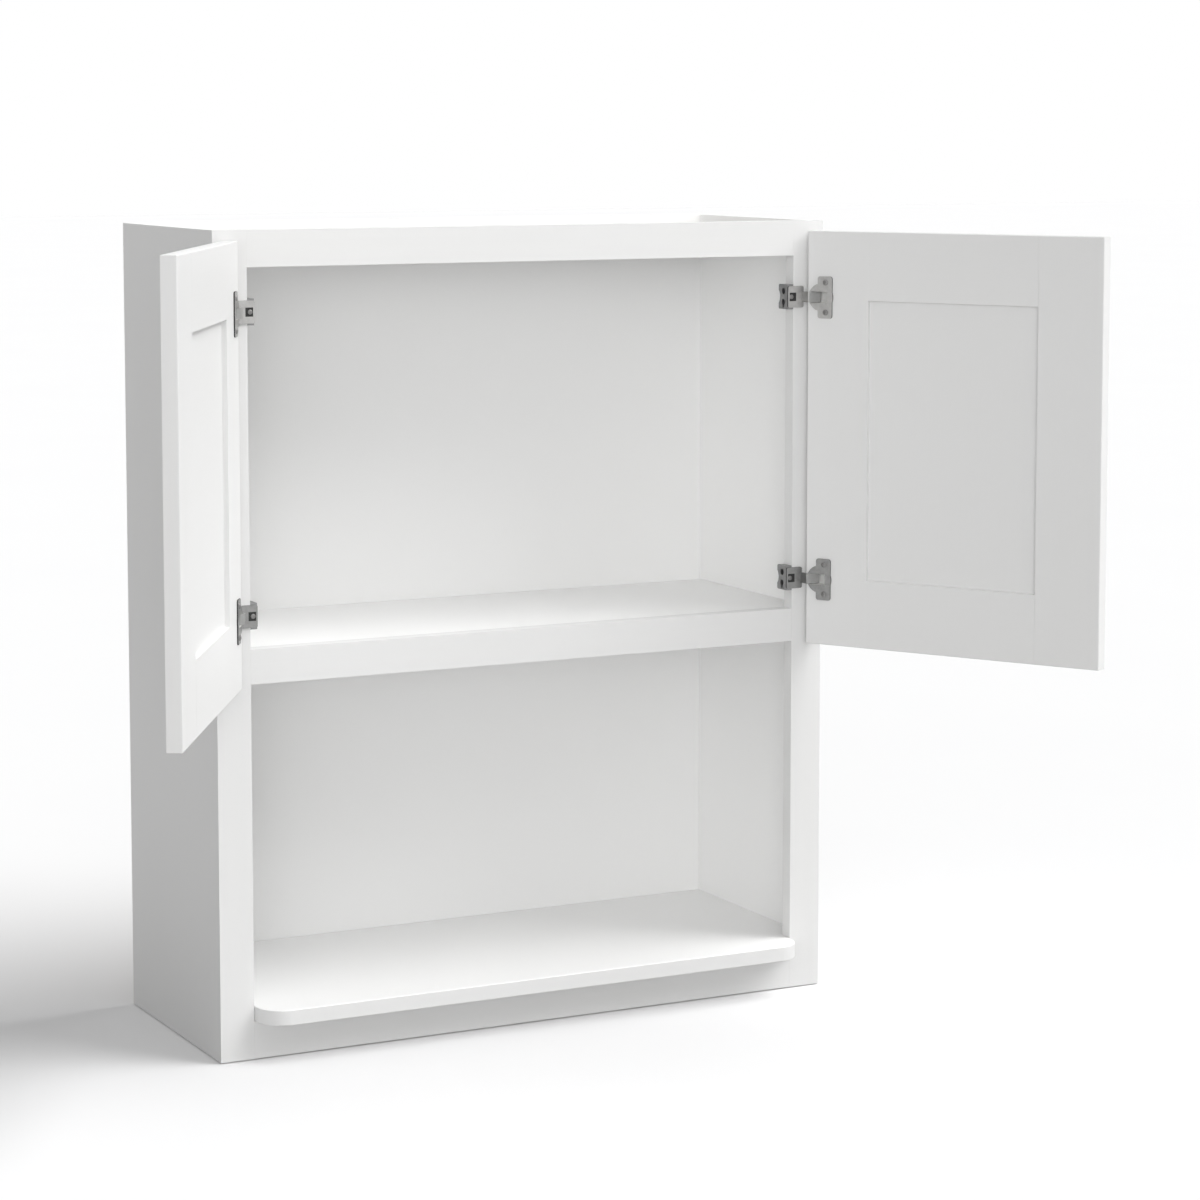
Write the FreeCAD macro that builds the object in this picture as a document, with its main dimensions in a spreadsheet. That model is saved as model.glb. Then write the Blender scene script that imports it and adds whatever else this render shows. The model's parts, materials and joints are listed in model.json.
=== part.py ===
# Microwave wall cabinet: a face-framed plywood box with a pair of panelled doors over an open
# microwave bay, whose shelf runs out through the frame.
# Millimetres, +Z up. The cabinet faces -Y, its back lies on the wall plane Y = 0, and the origin
# is the middle of the back's lower edge. The doors are drawn as they stand open.
import FreeCAD, Part
import os
import re
import Sketcher

sizes = {
    # Carcass
    "cabinet_width": 762, "cabinet_height": 914.4, "cabinet_depth": 287,
    "side_thickness": 12.7, "back_thickness": 12.7, "top_thickness": 12.7,
    "deck_thickness": 12.7, "bottom_thickness": 12.7, "top_recess": 19,
    "dado_depth": 6, "tongue_thickness": 6, "tongue_length": 6, "glue_line": 0.1,
    # Face frame
    "frame_thickness": 17.5, "stile_width": 39.5, "top_rail_height": 40.5,
    "middle_rail_height": 39, "bottom_rail_height": 42.5, "deck_level": 457,
    "dowel_diameter": 8, "dowel_length": 40, "dowel_spacing": 20, "dowel_play": 0.5,
    # Microwave shelf
    "shelf_thickness": 17.5, "shelf_overhang": 36, "shelf_corner_radius": 31.5,
    "shelf_clearance": 0.5, "shelf_edge_radius": 1,
    "shelf_screw_pitch": 280, "shelf_screw_inset": 45,
    # Doors
    "door_reveal": 3, "door_gap": 3, "door_top_reveal": 11.3, "door_bottom_drop": 1.9,
    "door_thickness": 17.5, "door_member_width": 80, "door_edge_radius": 1.5,
    "swing_clearance": 0.6, "door_open_angle": 120,
    "panel_thickness": 6, "panel_groove_depth": 10, "panel_play": 0.5, "groove_clearance": 0.2,
    # Hinge cup, let into the door
    "hinge_inset": 77.5, "pin_from_edge": 9.6, "pin_depth": 9.5, "pin_diameter": 3,
    "pin_end_gap": 0.15, "pin_fit": 0.02, "pin_play": 0.15,
    "cup_diameter": 30, "cup_tab": 3, "cup_floor": 0.8, "cup_clearance": 0.1, "cup_rim": 1,
    "flange_lead": 4, "flange_width": 19, "flange_end": 7, "flange_thickness": 1.5,
    "flange_corner_radius": 3, "cup_screw_gap": 2.5, "cup_screw_offset": 6.5,
    # Hinge arm, hooked round the edge of the frame
    "arm_height": 12, "arm_thickness": 2, "arm_bend_radius": 1.5, "arm_clearance": 0.5,
    "eye_radius": 2.6, "neck_offset": 14, "plate_height": 25, "plate_thickness": 2,
    "plate_corner_radius": 2, "window_slide": 3, "window_rise": 2.2, "window_depth": 1.1,
    "window_wall": 2,
    # Hinge base, screwed to the inner edge of the stile
    "base_width": 8, "base_height": 29, "base_depth": 20, "base_floor": 3,
    "base_notch_radius": 11, "base_notch_depth": 3, "base_corner_radius": 2,
    "base_screw_spacing": 13, "base_screw_inset": 9, "key_slot_length": 5,
    # Screws
    "screw_head_diameter": 7, "screw_head_height": 1.6, "screw_shank_diameter": 3.5,
    "screw_point": 3.5, "head_bevel": 1, "screw_fit": 0.05, "head_clearance": 0.2,
    "cup_screw_length": 12, "base_screw_length": 18, "shelf_screw_length": 26,
    "adjuster_length": 11, "adjuster_head_diameter": 5.5, "adjuster_head_height": 1,
    "adjuster_from_stile": 3,
}

# Two places nearer than this count as one
near = 0.001

doc = FreeCAD.newDocument("microwave_wall_cabinet")
sheet = doc.addObject("Spreadsheet::Sheet", "Sizes")
for row, (alias, value) in enumerate(sizes.items(), 1):
    sheet.set(f"A{row}", alias)
    sheet.set(f"B{row}", str(value))
    sheet.setAlias(f"B{row}", alias)
doc.recompute()

# Places worked out from the driving dimensions, written as expressions
half_width = "(cabinet_width / 2)"
frame_front = "(-cabinet_depth)"
frame_back = "(frame_thickness - cabinet_depth)"
frame_middle = "(frame_thickness / 2 - cabinet_depth)"
half_opening = "(cabinet_width / 2 - stile_width)"
half_inside = "(cabinet_width / 2 - side_thickness)"
top_level = "(cabinet_height - top_recess)"
rails = {
    "top": ("(cabinet_height - top_rail_height)", "cabinet_height"),
    "middle": ("(deck_level - middle_rail_height)", "deck_level"),
    "bottom": ("0", "bottom_rail_height"),
}
decks = {
    "top_panel": (f"({top_level} - top_thickness)", top_level),
    "middle_deck": ("(deck_level - deck_thickness)", "deck_level"),
    "bottom_panel": ("(bottom_rail_height - bottom_thickness)", "bottom_rail_height"),
}

door_top = "(cabinet_height - door_top_reveal)"
door_bottom = "(deck_level - middle_rail_height - door_bottom_drop)"
door_width = "(cabinet_width / 2 - door_reveal - door_gap / 2)"
half_door = f"(({door_top} - {door_bottom}) / 2)"
hinge_levels = {
    "upper": f"({door_top} - hinge_inset)",
    "lower": f"({door_bottom} + hinge_inset)",
}
pin_x = "(cabinet_width / 2 - door_reveal - pin_from_edge)"

# The door's eased corner clears the frame as it swings about the pin
corner_x = "(pin_from_edge - door_edge_radius)"
corner_y = "(max(pin_depth; door_thickness - pin_depth) - door_edge_radius)"
corner_reach = f"(sqrt({corner_x} ^ 2 + {corner_y} ^ 2) + door_edge_radius)"
pin_y = f"(-cabinet_depth - {corner_reach} - swing_clearance)"

# In a door's own frame the origin is on the pin, X runs to the free edge and Y to the inner face
edge_x = "(-pin_from_edge)"
free_x = f"({door_width} - pin_from_edge)"
inner_y = "pin_depth"
outer_y = "(pin_depth - door_thickness)"
core_y = "(pin_depth - door_thickness / 2)"

# In a hinge's own frame the cup, its screws, and the stile's front and edge lie here, from the pin
cup_x = "(cup_diameter / 2 + cup_tab - pin_from_edge)"
cup_bottom = "(-eye_radius - arm_clearance)"
barrel_radius = "(cup_diameter / 2 - cup_clearance)"
half_pin = f"(sqrt({barrel_radius} ^ 2 - ({cup_x} + pin_diameter / 2) ^ 2) - pin_end_gap)"
cup_screw_x = f"({cup_x} + cup_screw_offset)"
cup_screw_z = "(cup_diameter / 2 + cup_screw_gap)"
stile_front = f"({corner_reach} + swing_clearance)"
stile_edge = "(stile_width - door_reveal - pin_from_edge)"
adjuster_x = f"({stile_edge} + adjuster_from_stile)"
plate_front = f"({stile_front} - plate_thickness)"
neck_far = "(neck_offset + arm_thickness)"
shank_radius = "(screw_shank_diameter / 2)"
screw_hole = "(screw_shank_diameter / 2 + screw_fit)"

sub_parts = []


def sized(text):
    return re.sub(r"[a-z][a-z_]+", lambda word: prefixed(word.group()), str(text))


def prefixed(word):
    return f"Sizes.{word}" if word in sizes else word


def measure(text):
    return float(sheet.evalExpression(sized(text)))


def new_body(label, placement=None):
    body = doc.addObject("PartDesign::Body", label)
    body.Label = label
    if placement:
        body.setExpression("Placement", sized(placement))
    sub_parts.append(body)
    return body


def new_sketch(body, plane, name, level):
    # The normal of the XZ plane points along -Y, those of the other two along + axes.
    sketch = body.newObject("Sketcher::SketchObject", f"{body.Name}_{name}_sketch")
    support = next(item for item in body.Origin.OriginFeatures if item.Role == f"{plane}_Plane")
    sketch.AttachmentSupport = [(support, "")]
    sketch.MapMode = "FlatFace"
    sign = "-1" if plane == "XZ" else "1"
    sketch.setExpression("AttachmentOffset.Base.z", sized(f"{sign} * ({level})"))
    return sketch


def place_point(sketch, geometry, point, x, y):
    for kind, value in (("DistanceX", x), ("DistanceY", y)):
        constraint = Sketcher.Constraint(kind, -1, 1, geometry, point, measure(value))
        index = sketch.addConstraint(constraint)
        sketch.setExpression(f"Constraints[{index}]", sized(value))


def add_polygon(sketch, points):
    first = sketch.GeometryCount
    corners = [FreeCAD.Vector(measure(x), measure(y), 0) for x, y in points]
    for start, end in zip(corners, corners[1:] + corners[:1]):
        sketch.addGeometry(Part.LineSegment(start, end))
    for index, (x, y) in enumerate(points):
        line = first + index
        before = first + (index - 1) % len(points)
        sketch.addConstraint(Sketcher.Constraint("Coincident", before, 2, line, 1))
        place_point(sketch, line, 1, x, y)


def add_circle(sketch, x, y, radius):
    centre = FreeCAD.Vector(measure(x), measure(y), 0)
    ring = sketch.addGeometry(Part.Circle(centre, FreeCAD.Vector(0, 0, 1), measure(radius)))
    place_point(sketch, ring, 3, x, y)
    index = sketch.addConstraint(Sketcher.Constraint("Radius", ring, measure(radius)))
    sketch.setExpression(f"Constraints[{index}]", sized(radius))


def rectangle(left, right, bottom, top):
    return [(left, bottom), (right, bottom), (right, top), (left, top)]


def extrude(body, kind, plane, name, start, end, outlines=(), circles=()):
    # A Pad or a Pocket that fills exactly the stretch between two places along the plane's axis.
    low, high = sorted((start, end), key=measure)
    sketch = new_sketch(body, plane, name, high if plane == "XZ" else low)
    for points in outlines:
        add_polygon(sketch, points)
    for x, y, radius in circles:
        add_circle(sketch, x, y, radius)
    feature = body.newObject(f"PartDesign::{kind}", f"{body.Name}_{name}")
    feature.Profile = sketch
    feature.setExpression("Length", sized(f"({high}) - ({low})"))
    feature.Reversed = kind == "Pocket"
    return feature


def pad(body, plane, name, start, end, outlines=(), circles=()):
    return extrude(body, "Pad", plane, name, start, end, outlines, circles)


def pocket(body, plane, name, start, end, outlines=(), circles=()):
    # A cut that misses the solid shows no error, so the volumes are compared.
    doc.recompute()
    before = body.Shape.Volume
    feature = extrude(body, "Pocket", plane, name, start, end, outlines, circles)
    doc.recompute()
    if not body.Shape.Volume < before:
        raise RuntimeError(f"{feature.Name} cuts nothing")
    return feature


def round_edges(body, name, radius, chosen):
    doc.recompute()
    base = body.Tip
    names = [f"Edge{index}" for index, edge in enumerate(base.Shape.Edges, 1) if chosen(edge)]
    fillet = body.newObject("PartDesign::Fillet", f"{body.Name}_{name}")
    fillet.Base = (base, names)
    fillet.setExpression("Radius", sized(radius))
    return fillet


def lies_at(edge, **places):
    # True where every point of the edge has the given coordinates.
    box = edge.BoundBox
    limits = {"x": (box.XMin, box.XMax), "y": (box.YMin, box.YMax), "z": (box.ZMin, box.ZMax)}
    return all(abs(limit - measure(place)) < near for axis, place in places.items() for limit in limits[axis])


def board(label, x, y, z, placement=None):
    body = new_body(label, placement)
    pad(body, "XY", "board", *z, outlines=[rectangle(*x, *y)])
    return body


def carcass_side(side, sign):
    # A side board with a dado for each deck, a rabbet for the back and a tongue for the stile.
    outer = f"{sign} * {half_width}"
    inner = f"{sign} * {half_inside}"
    dado = f"{sign} * ({half_inside} + dado_depth)"
    tongue = f"{sign} * ({half_inside} + tongue_thickness)"
    tip = f"({frame_back} - tongue_length)"
    outline = [(outer, "0"), (inner, "0")]
    for low, high in reversed(decks.values()):
        high = f"({high} + glue_line)"
        outline += [(inner, low), (dado, low), (dado, high), (inner, high)]
    outline += [(inner, "cabinet_height"), (outer, "cabinet_height")]
    body = new_body(f"{side}_side_panel")
    pad(body, "XZ", "board", tip, "0", [outline])
    pocket(body, "XY", "tongue", "0", "cabinet_height", [rectangle(tongue, outer, tip, frame_back)])
    pocket(body, "XY", "rabbet", "0", "cabinet_height", [rectangle(inner, dado, "-back_thickness", "0")])


def carcass_decks():
    half_deck = f"({half_inside} + dado_depth - glue_line)"
    for label, (low, high) in decks.items():
        body = board(label, (f"-{half_deck}", half_deck), (frame_back, "-back_thickness"), (low, high))
        if label == "bottom_panel":
            holes = [(x, y, screw_hole) for y in shelf_screw_rows.values() for x in shelf_screw_places]
            pocket(body, "XY", "screw_holes", low, high, circles=holes)


def carcass_back():
    half_back = f"({half_inside} + dado_depth - glue_line)"
    board("back_panel", (f"-{half_back}", half_back), ("-back_thickness", "0"), ("0", "cabinet_height"))


def dowel_places():
    # Two dowels in each rail's end, either side of the rail's middle.
    for low, high in rails.values():
        for step in ("-dowel_spacing / 2", "dowel_spacing / 2"):
            yield frame_middle, f"(({low} + {high}) / 2 + {step})"


def frame_stile(side, sign):
    outer = f"{sign} * {half_width}"
    inner = f"{sign} * {half_opening}"
    groove_near = f"{sign} * ({half_inside} - glue_line)"
    groove_far = f"{sign} * ({half_inside} + tongue_thickness + glue_line)"
    groove_floor = f"({frame_back} - tongue_length - glue_line)"
    outline = [
        (outer, frame_front), (inner, frame_front), (inner, frame_back),
        (groove_near, frame_back), (groove_near, groove_floor),
        (groove_far, groove_floor), (groove_far, frame_back), (outer, frame_back),
    ]
    body = new_body(f"{side}_stile")
    pad(body, "XY", "stile", "0", "cabinet_height", [outline])
    dowel_end = f"{sign} * ({half_opening} + dowel_length / 2 + dowel_play)"
    dowel_holes = [(y, z, "dowel_diameter / 2 + glue_line") for y, z in dowel_places()]
    pocket(body, "YZ", "dowel_holes", inner, dowel_end, circles=dowel_holes)
    screw_end = f"{sign} * ({half_opening} + base_screw_length - base_floor + screw_fit)"
    screw_y = f"({frame_front} + base_screw_inset)"
    screw_holes = []
    for level in hinge_levels.values():
        for step in ("-base_screw_spacing / 2", "base_screw_spacing / 2"):
            screw_holes.append((screw_y, f"({level} + {step})", screw_hole))
    pocket(body, "YZ", "screw_holes", inner, screw_end, circles=screw_holes)


def frame_rail(name, low, high):
    body = board(f"{name}_rail", (f"-{half_opening}", half_opening), (frame_front, frame_back), (low, high))
    holes = [(y, z, "dowel_diameter / 2 + glue_line") for y, z in dowel_places() if rails[name][0] in z]
    hole_end = f"({half_opening} - dowel_length / 2 - dowel_play)"
    pocket(body, "YZ", "left_holes", f"-{half_opening}", f"-{hole_end}", circles=holes)
    pocket(body, "YZ", "right_holes", half_opening, hole_end, circles=holes)


def frame_dowels():
    body = new_body("frame_dowels")
    pegs = [(y, z, "dowel_diameter / 2") for y, z in dowel_places()]
    for side, sign in sides.items():
        start = f"{sign} * ({half_opening} - dowel_length / 2)"
        end = f"{sign} * ({half_opening} + dowel_length / 2)"
        pad(body, "YZ", f"{side}_dowels", start, end, circles=pegs)


shelf_screw_places = ("-shelf_screw_pitch", "0", "shelf_screw_pitch")
shelf_screw_rows = {
    "front": f"({frame_back} + shelf_screw_inset)",
    "rear": "(-back_thickness - shelf_screw_inset)",
}


def microwave_shelf():
    # The shelf fills the bay behind the frame and narrows to pass between the stiles.
    body = new_body("microwave_shelf")
    front = f"({frame_front} - shelf_overhang)"
    shoulder = f"({frame_back} + shelf_clearance)"
    rear = "(-back_thickness - shelf_clearance)"
    nose = f"({half_opening} - shelf_clearance)"
    wide = f"({half_inside} - shelf_clearance)"
    low = "bottom_rail_height"
    high = "(bottom_rail_height + shelf_thickness)"
    outline = [
        (f"-{nose}", front), (nose, front), (nose, shoulder), (wide, shoulder),
        (wide, rear), (f"-{wide}", rear), (f"-{wide}", shoulder), (f"-{nose}", shoulder),
    ]
    pad(body, "XY", "board", low, high, [outline])
    depth = f"({low} + shelf_screw_length - bottom_thickness + screw_fit)"
    holes = [(x, y, screw_hole) for y in shelf_screw_rows.values() for x in shelf_screw_places]
    pocket(body, "XY", "screw_holes", low, depth, circles=holes)
    round_edges(
        body, "corners", "shelf_corner_radius",
        lambda edge: lies_at(edge, y=front) and edge.BoundBox.ZLength > measure("shelf_thickness / 2"))
    round_edges(body, "edges", "shelf_edge_radius", lambda edge: is_nose_edge(edge, shoulder))


def is_nose_edge(edge, shoulder):
    # The upper and lower edges of what stands out through the frame.
    flat = edge.BoundBox.ZLength < near
    forward = edge.BoundBox.YMin < measure(frame_front)
    hole = isinstance(edge.Curve, Part.Circle) and edge.Curve.Radius < measure("screw_shank_diameter")
    return flat and forward and not hole and edge.BoundBox.YMax < measure(shoulder) + near


def screw_set(label, placement, length, count=1, pitch="0", head="screw_head"):
    # Pan-head screws in a row along X, with their seats at Z = 0 and their points down.
    body = new_body(label, placement)
    head_radius = f"({head}_diameter / 2)"
    crown = f"{head}_height"
    outline = [
        ("0", f"-{length}"), (shank_radius, f"screw_point - {length}"), (shank_radius, "0"),
        (head_radius, "0"), (head_radius, f"{crown} / 2"), (f"{head_radius} - head_bevel", crown),
        ("0", crown),
    ]
    sketch = new_sketch(body, "XZ", "section", "0")
    add_polygon(sketch, outline)
    turned = body.newObject("PartDesign::Revolution", f"{body.Name}_turned")
    turned.Profile = sketch
    turned.ReferenceAxis = (sketch, ["V_Axis"])
    turned.Angle = 360
    if count > 1:
        row = body.newObject("PartDesign::LinearPattern", f"{body.Name}_row")
        row.Originals = [turned]
        row.Direction = (sketch, ["H_Axis"])
        row.setExpression("Length", sized(f"{count - 1} * ({pitch})"))
        row.Occurrences = count
        body.Tip = row
    return body


def shelf_screws():
    under = decks["bottom_panel"][0]
    for name, y in shelf_screw_rows.items():
        place = f"placement(vector(-shelf_screw_pitch; {y}; {under}); rotation(vector(1; 0; 0); 180))"
        screw_set(f"{name}_shelf_screws", place, "shelf_screw_length", len(shelf_screw_places), "shelf_screw_pitch")


def round_door_edges(body, outer_x=None, outer_z=None):
    # The door's own outline is eased on both faces, its inner joints are left square.
    def on_outline(edge):
        for face in (inner_y, outer_y):
            if outer_x and lies_at(edge, x=outer_x, y=face):
                return True
            if any(lies_at(edge, z=end, y=face) for end in outer_z):
                return True
        return False
    round_edges(body, "eased", "door_edge_radius", on_outline)


def door_frame_and_panel(side, place):
    groove_low = f"({core_y} - panel_thickness / 2 - groove_clearance / 2)"
    groove_high = f"({core_y} + panel_thickness / 2 + groove_clearance / 2)"
    low, high = f"-{half_door}", half_door
    stiles = {"hinge": (edge_x, "1"), "free": (free_x, "-1")}
    for name, (outer, sign) in stiles.items():
        inner = f"({outer} + {sign} * door_member_width)"
        floor = f"({inner} - {sign} * panel_groove_depth)"
        outline = [
            (outer, outer_y), (inner, outer_y), (inner, groove_low), (floor, groove_low),
            (floor, groove_high), (inner, groove_high), (inner, inner_y), (outer, inner_y),
        ]
        body = new_body(f"{side}_door_{name}_stile", place)
        pad(body, "XY", "stile", low, high, [outline])
        round_door_edges(body, outer, (low, high))
        if name == "hinge":
            hinge_bores(body)

    start = f"({edge_x} + door_member_width)"
    end = f"({free_x} - door_member_width)"
    reach = "(panel_groove_depth - panel_play)"
    for name, sign in (("top", "1"), ("bottom", "-1")):
        outer = f"{sign} * {half_door}"
        inner = f"{sign} * ({half_door} - door_member_width)"
        floor = f"{sign} * ({half_door} - door_member_width + panel_groove_depth)"
        outline = [
            (outer_y, outer), (outer_y, inner), (groove_low, inner), (groove_low, floor),
            (groove_high, floor), (groove_high, inner), (inner_y, inner), (inner_y, outer),
        ]
        body = new_body(f"{side}_door_{name}_rail", place)
        pad(body, "YZ", "rail", start, end, [outline])
        round_door_edges(body, None, (outer,))
        tongue = rectangle(f"({core_y} - panel_thickness / 2)", f"({core_y} + panel_thickness / 2)", floor, outer)
        pad(body, "YZ", "tongues", f"{start} - {reach}", f"{end} + {reach}", [tongue])

    half_panel = f"({half_door} - door_member_width + {reach})"
    board(
        f"{side}_door_panel", (f"{start} - {reach}", f"{end} + {reach}"),
        (f"{core_y} - panel_thickness / 2", f"{core_y} + panel_thickness / 2"),
        (f"-{half_panel}", half_panel), place)


def hinge_bores(body):
    # Two blind bores for the hinge cups, each with a pair of pilot holes.
    centres = (f"({half_door} - hinge_inset)", f"(hinge_inset - {half_door})")
    bores = [(cup_x, centre, "cup_diameter / 2") for centre in centres]
    pocket(body, "XZ", "cup_bores", f"{cup_bottom} - cup_floor - cup_clearance", inner_y, circles=bores)
    holes = []
    for centre in centres:
        for sign in ("-1", "1"):
            holes.append((cup_screw_x, f"({centre} + {sign} * {cup_screw_z})", screw_hole))
    depth = f"({inner_y} + flange_thickness - cup_screw_length - screw_fit)"
    pocket(body, "XZ", "screw_holes", depth, inner_y, circles=holes)


def hinge_cup(name, place):
    body = new_body(f"{name}_cup", place)
    top = f"({inner_y} + flange_thickness)"
    lead = f"({cup_x} - flange_lead)"
    half_flange = f"({cup_screw_z} + flange_end)"
    plate = rectangle(lead, f"({lead} + flange_width)", f"-{half_flange}", half_flange)
    pad(body, "XZ", "flange", inner_y, top, [plate])
    round_edges(
        body, "flange_corners", "flange_corner_radius",
        lambda edge: edge.BoundBox.YLength > measure("flange_thickness / 2"))
    pad(body, "XZ", "rim", inner_y, top, circles=[(cup_x, "0", "cup_diameter / 2 + cup_rim")])
    barrel = [(cup_x, "0", barrel_radius)]
    pad(body, "XZ", "barrel", f"{cup_bottom} - cup_floor", inner_y, circles=barrel)
    half_slot = "(arm_height / 2 + arm_clearance)"
    slot = rectangle(f"{edge_x} - cup_rim", f"({neck_far} + arm_clearance)", f"-{half_slot}", half_slot)
    pocket(body, "XZ", "slot", cup_bottom, top, [slot])
    reach = f"({half_pin} + pin_fit)"
    pocket(body, "XY", "pin_bore", f"-{reach}", reach, circles=[("0", "0", "pin_diameter / 2 + pin_fit")])
    holes = [(cup_screw_x, f"{sign} * {cup_screw_z}", screw_hole) for sign in ("-1", "1")]
    pocket(body, "XZ", "screw_holes", inner_y, top, circles=holes)


def hinge_pin(name, place):
    body = new_body(f"{name}_pin", place)
    pad(body, "XY", "pin", f"-{half_pin}", half_pin, circles=[("0", "0", "pin_diameter / 2")])


def hinge_arm(name, place):
    # One bent strip: an eye on the pin, an elbow that folds into the cup, a neck and a front plate.
    body = new_body(f"{name}_arm", place)
    half_arm = "(arm_height / 2)"
    elbow = [
        ("0", "-eye_radius"), (neck_far, "-eye_radius"), (neck_far, stile_front),
        ("neck_offset", stile_front), ("neck_offset", "(arm_thickness - eye_radius)"),
        ("0", "(arm_thickness - eye_radius)"),
    ]
    pad(body, "XY", "elbow", f"-{half_arm}", half_arm, [elbow])
    round_edges(
        body, "bend", "arm_bend_radius",
        lambda edge: lies_at(edge, x=neck_far, y="-eye_radius"))
    pad(body, "XY", "eye", f"-{half_arm}", half_arm, circles=[("0", "0", "eye_radius")])
    window_far = f"({adjuster_x} + adjuster_head_diameter / 2 + head_clearance)"
    window_near = f"({adjuster_x} - adjuster_head_diameter / 2 - window_slide)"
    plate_end = f"({window_far} + window_wall)"
    half_plate = "(plate_height / 2)"
    plate = rectangle("neck_offset", plate_end, f"-{half_plate}", half_plate)
    pad(body, "XZ", "plate", plate_front, stile_front, [plate])
    round_edges(
        body, "plate_corners", "plate_corner_radius",
        lambda edge: is_plate_corner(edge, half_plate))
    half_window = "(adjuster_head_diameter / 2 + window_rise)"
    window = rectangle(window_near, window_far, f"-{half_window}", half_window)
    pocket(body, "XZ", "window", plate_front, f"{plate_front} + window_depth", [window])
    pocket(body, "XZ", "adjuster_hole", plate_front, stile_front, circles=[(adjuster_x, "0", screw_hole)])
    reach = f"({half_arm} + eye_radius)"
    pocket(body, "XY", "eye_bore", f"-{reach}", reach, circles=[("0", "0", "pin_diameter / 2 + pin_play")])


def is_plate_corner(edge, half_plate):
    across = edge.BoundBox.YLength > measure("plate_thickness / 2")
    return across and (lies_at(edge, z=half_plate) or lies_at(edge, z=f"-{half_plate}"))


def hinge_base(name, place):
    # A block on the stile's inner edge, with a hollowed rear edge and two sunk screws.
    body = new_body(f"{name}_base", place)
    face = f"({stile_edge} + base_width)"
    rear = f"({stile_front} + base_depth)"
    half_base = "(base_height / 2)"
    pad(body, "YZ", "block", stile_edge, face, [rectangle(stile_front, rear, f"-{half_base}", half_base)])
    round_edges(
        body, "corners", "base_corner_radius",
        lambda edge: lies_at(edge, y=rear) and edge.BoundBox.XLength > measure("base_width / 2"))
    notch = [(f"{rear} + base_notch_radius - base_notch_depth", "0", "base_notch_radius")]
    pocket(body, "YZ", "notch", stile_edge, face, circles=notch)
    screw_y = f"({stile_front} + base_screw_inset)"
    half_row = "(base_screw_spacing / 2)"
    seat = f"({stile_edge} + base_floor)"
    shanks = [(screw_y, f"{sign} * {half_row}", screw_hole) for sign in ("-1", "1")]
    pocket(body, "YZ", "screw_holes", stile_edge, seat, circles=shanks)
    sink = "(screw_head_diameter / 2 + head_clearance)"
    sinks = [(screw_y, f"{sign} * {half_row}", sink) for sign in ("-1", "1")]
    pocket(body, "YZ", "sinks", seat, face, circles=sinks)
    tail = f"({half_row} + {sink} + key_slot_length / 2)"
    key = rectangle(f"{screw_y} - {sink} / 2", f"{screw_y} + {sink} / 2", half_row, tail)
    pocket(body, "YZ", "key_slot", seat, face, [key])
    thread_end = f"({plate_front} + window_depth + adjuster_length + screw_fit)"
    pocket(body, "XZ", "adjuster_hole", stile_front, thread_end, circles=[(adjuster_x, "0", screw_hole)])


def hinge_screws(name, door_place, frame_place):
    start = f"vector({cup_screw_x}; {inner_y} + flange_thickness; -{cup_screw_z})"
    upright = "rotation(vector(1; 1; 1); -120)"
    screw_set(
        f"{name}_cup_screws", f"{door_place} * placement({start}; {upright})",
        "cup_screw_length", 2, f"2 * {cup_screw_z}")
    start = f"vector({stile_edge} + base_floor; {stile_front} + base_screw_inset; base_screw_spacing / 2)"
    sideways = "rotation(vector(0; 1; 0); 90)"
    screw_set(
        f"{name}_base_screws", f"{frame_place} * placement({start}; {sideways})",
        "base_screw_length", 2, "base_screw_spacing")
    start = f"vector({adjuster_x}; {plate_front} + window_depth; 0)"
    forward = "rotation(vector(1; 0; 0); 90)"
    screw_set(
        f"{name}_adjuster", f"{frame_place} * placement({start}; {forward})",
        "adjuster_length", head="adjuster_head")


sides = {"left": "-1", "right": "1"}
for side, sign in sides.items():
    carcass_side(side, sign)
    frame_stile(side, sign)
carcass_decks()
carcass_back()
for name, (low, high) in rails.items():
    frame_rail(name, low, high)
frame_dowels()
microwave_shelf()
shelf_screws()

# Right-hand doors and hinges are the left-hand ones turned upside down, as they are on the bench
for side, sign in sides.items():
    turn = "rotation(vector(0; 1; 0); 180)" if side == "right" else "rotation(vector(0; 1; 0); 0)"
    swing = f"rotation(vector(0; 0; 1); {sign} * door_open_angle) * {turn}"
    middle = f"(({door_top} + {door_bottom}) / 2)"
    spot = f"{sign} * {pin_x}; {pin_y}"
    door_frame_and_panel(side, f"placement(vector({spot}; {middle}); {swing})")
    for height, level in hinge_levels.items():
        name = f"{side}_{height}_hinge"
        door_place = f"placement(vector({spot}; {level}); {swing})"
        frame_place = f"placement(vector({spot}; {level}); {turn})"
        hinge_cup(name, door_place)
        hinge_pin(name, door_place)
        hinge_arm(name, frame_place)
        hinge_base(name, frame_place)
        hinge_screws(name, door_place, frame_place)

doc.recompute()
for item in doc.Objects:
    if "Invalid" in item.State or "Error" in item.State:
        raise RuntimeError(f"{item.Name} failed: {item.State}")
for body in sub_parts:
    if body.Shape.isNull() or not body.Shape.isValid():
        raise RuntimeError(f"{body.Label} has no valid shape")

os.makedirs("parts", exist_ok=True)
for body in sub_parts:
    body.Shape.exportStep(f"parts/{body.Label}.step")
    print(f"{body.Label}: {len(body.Shape.Solids)} solids, {body.Shape.Volume / 1000:.1f} cm3")
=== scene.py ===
import json
import math
import random

import bmesh
import bpy
from mathutils import Matrix, Vector


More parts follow.
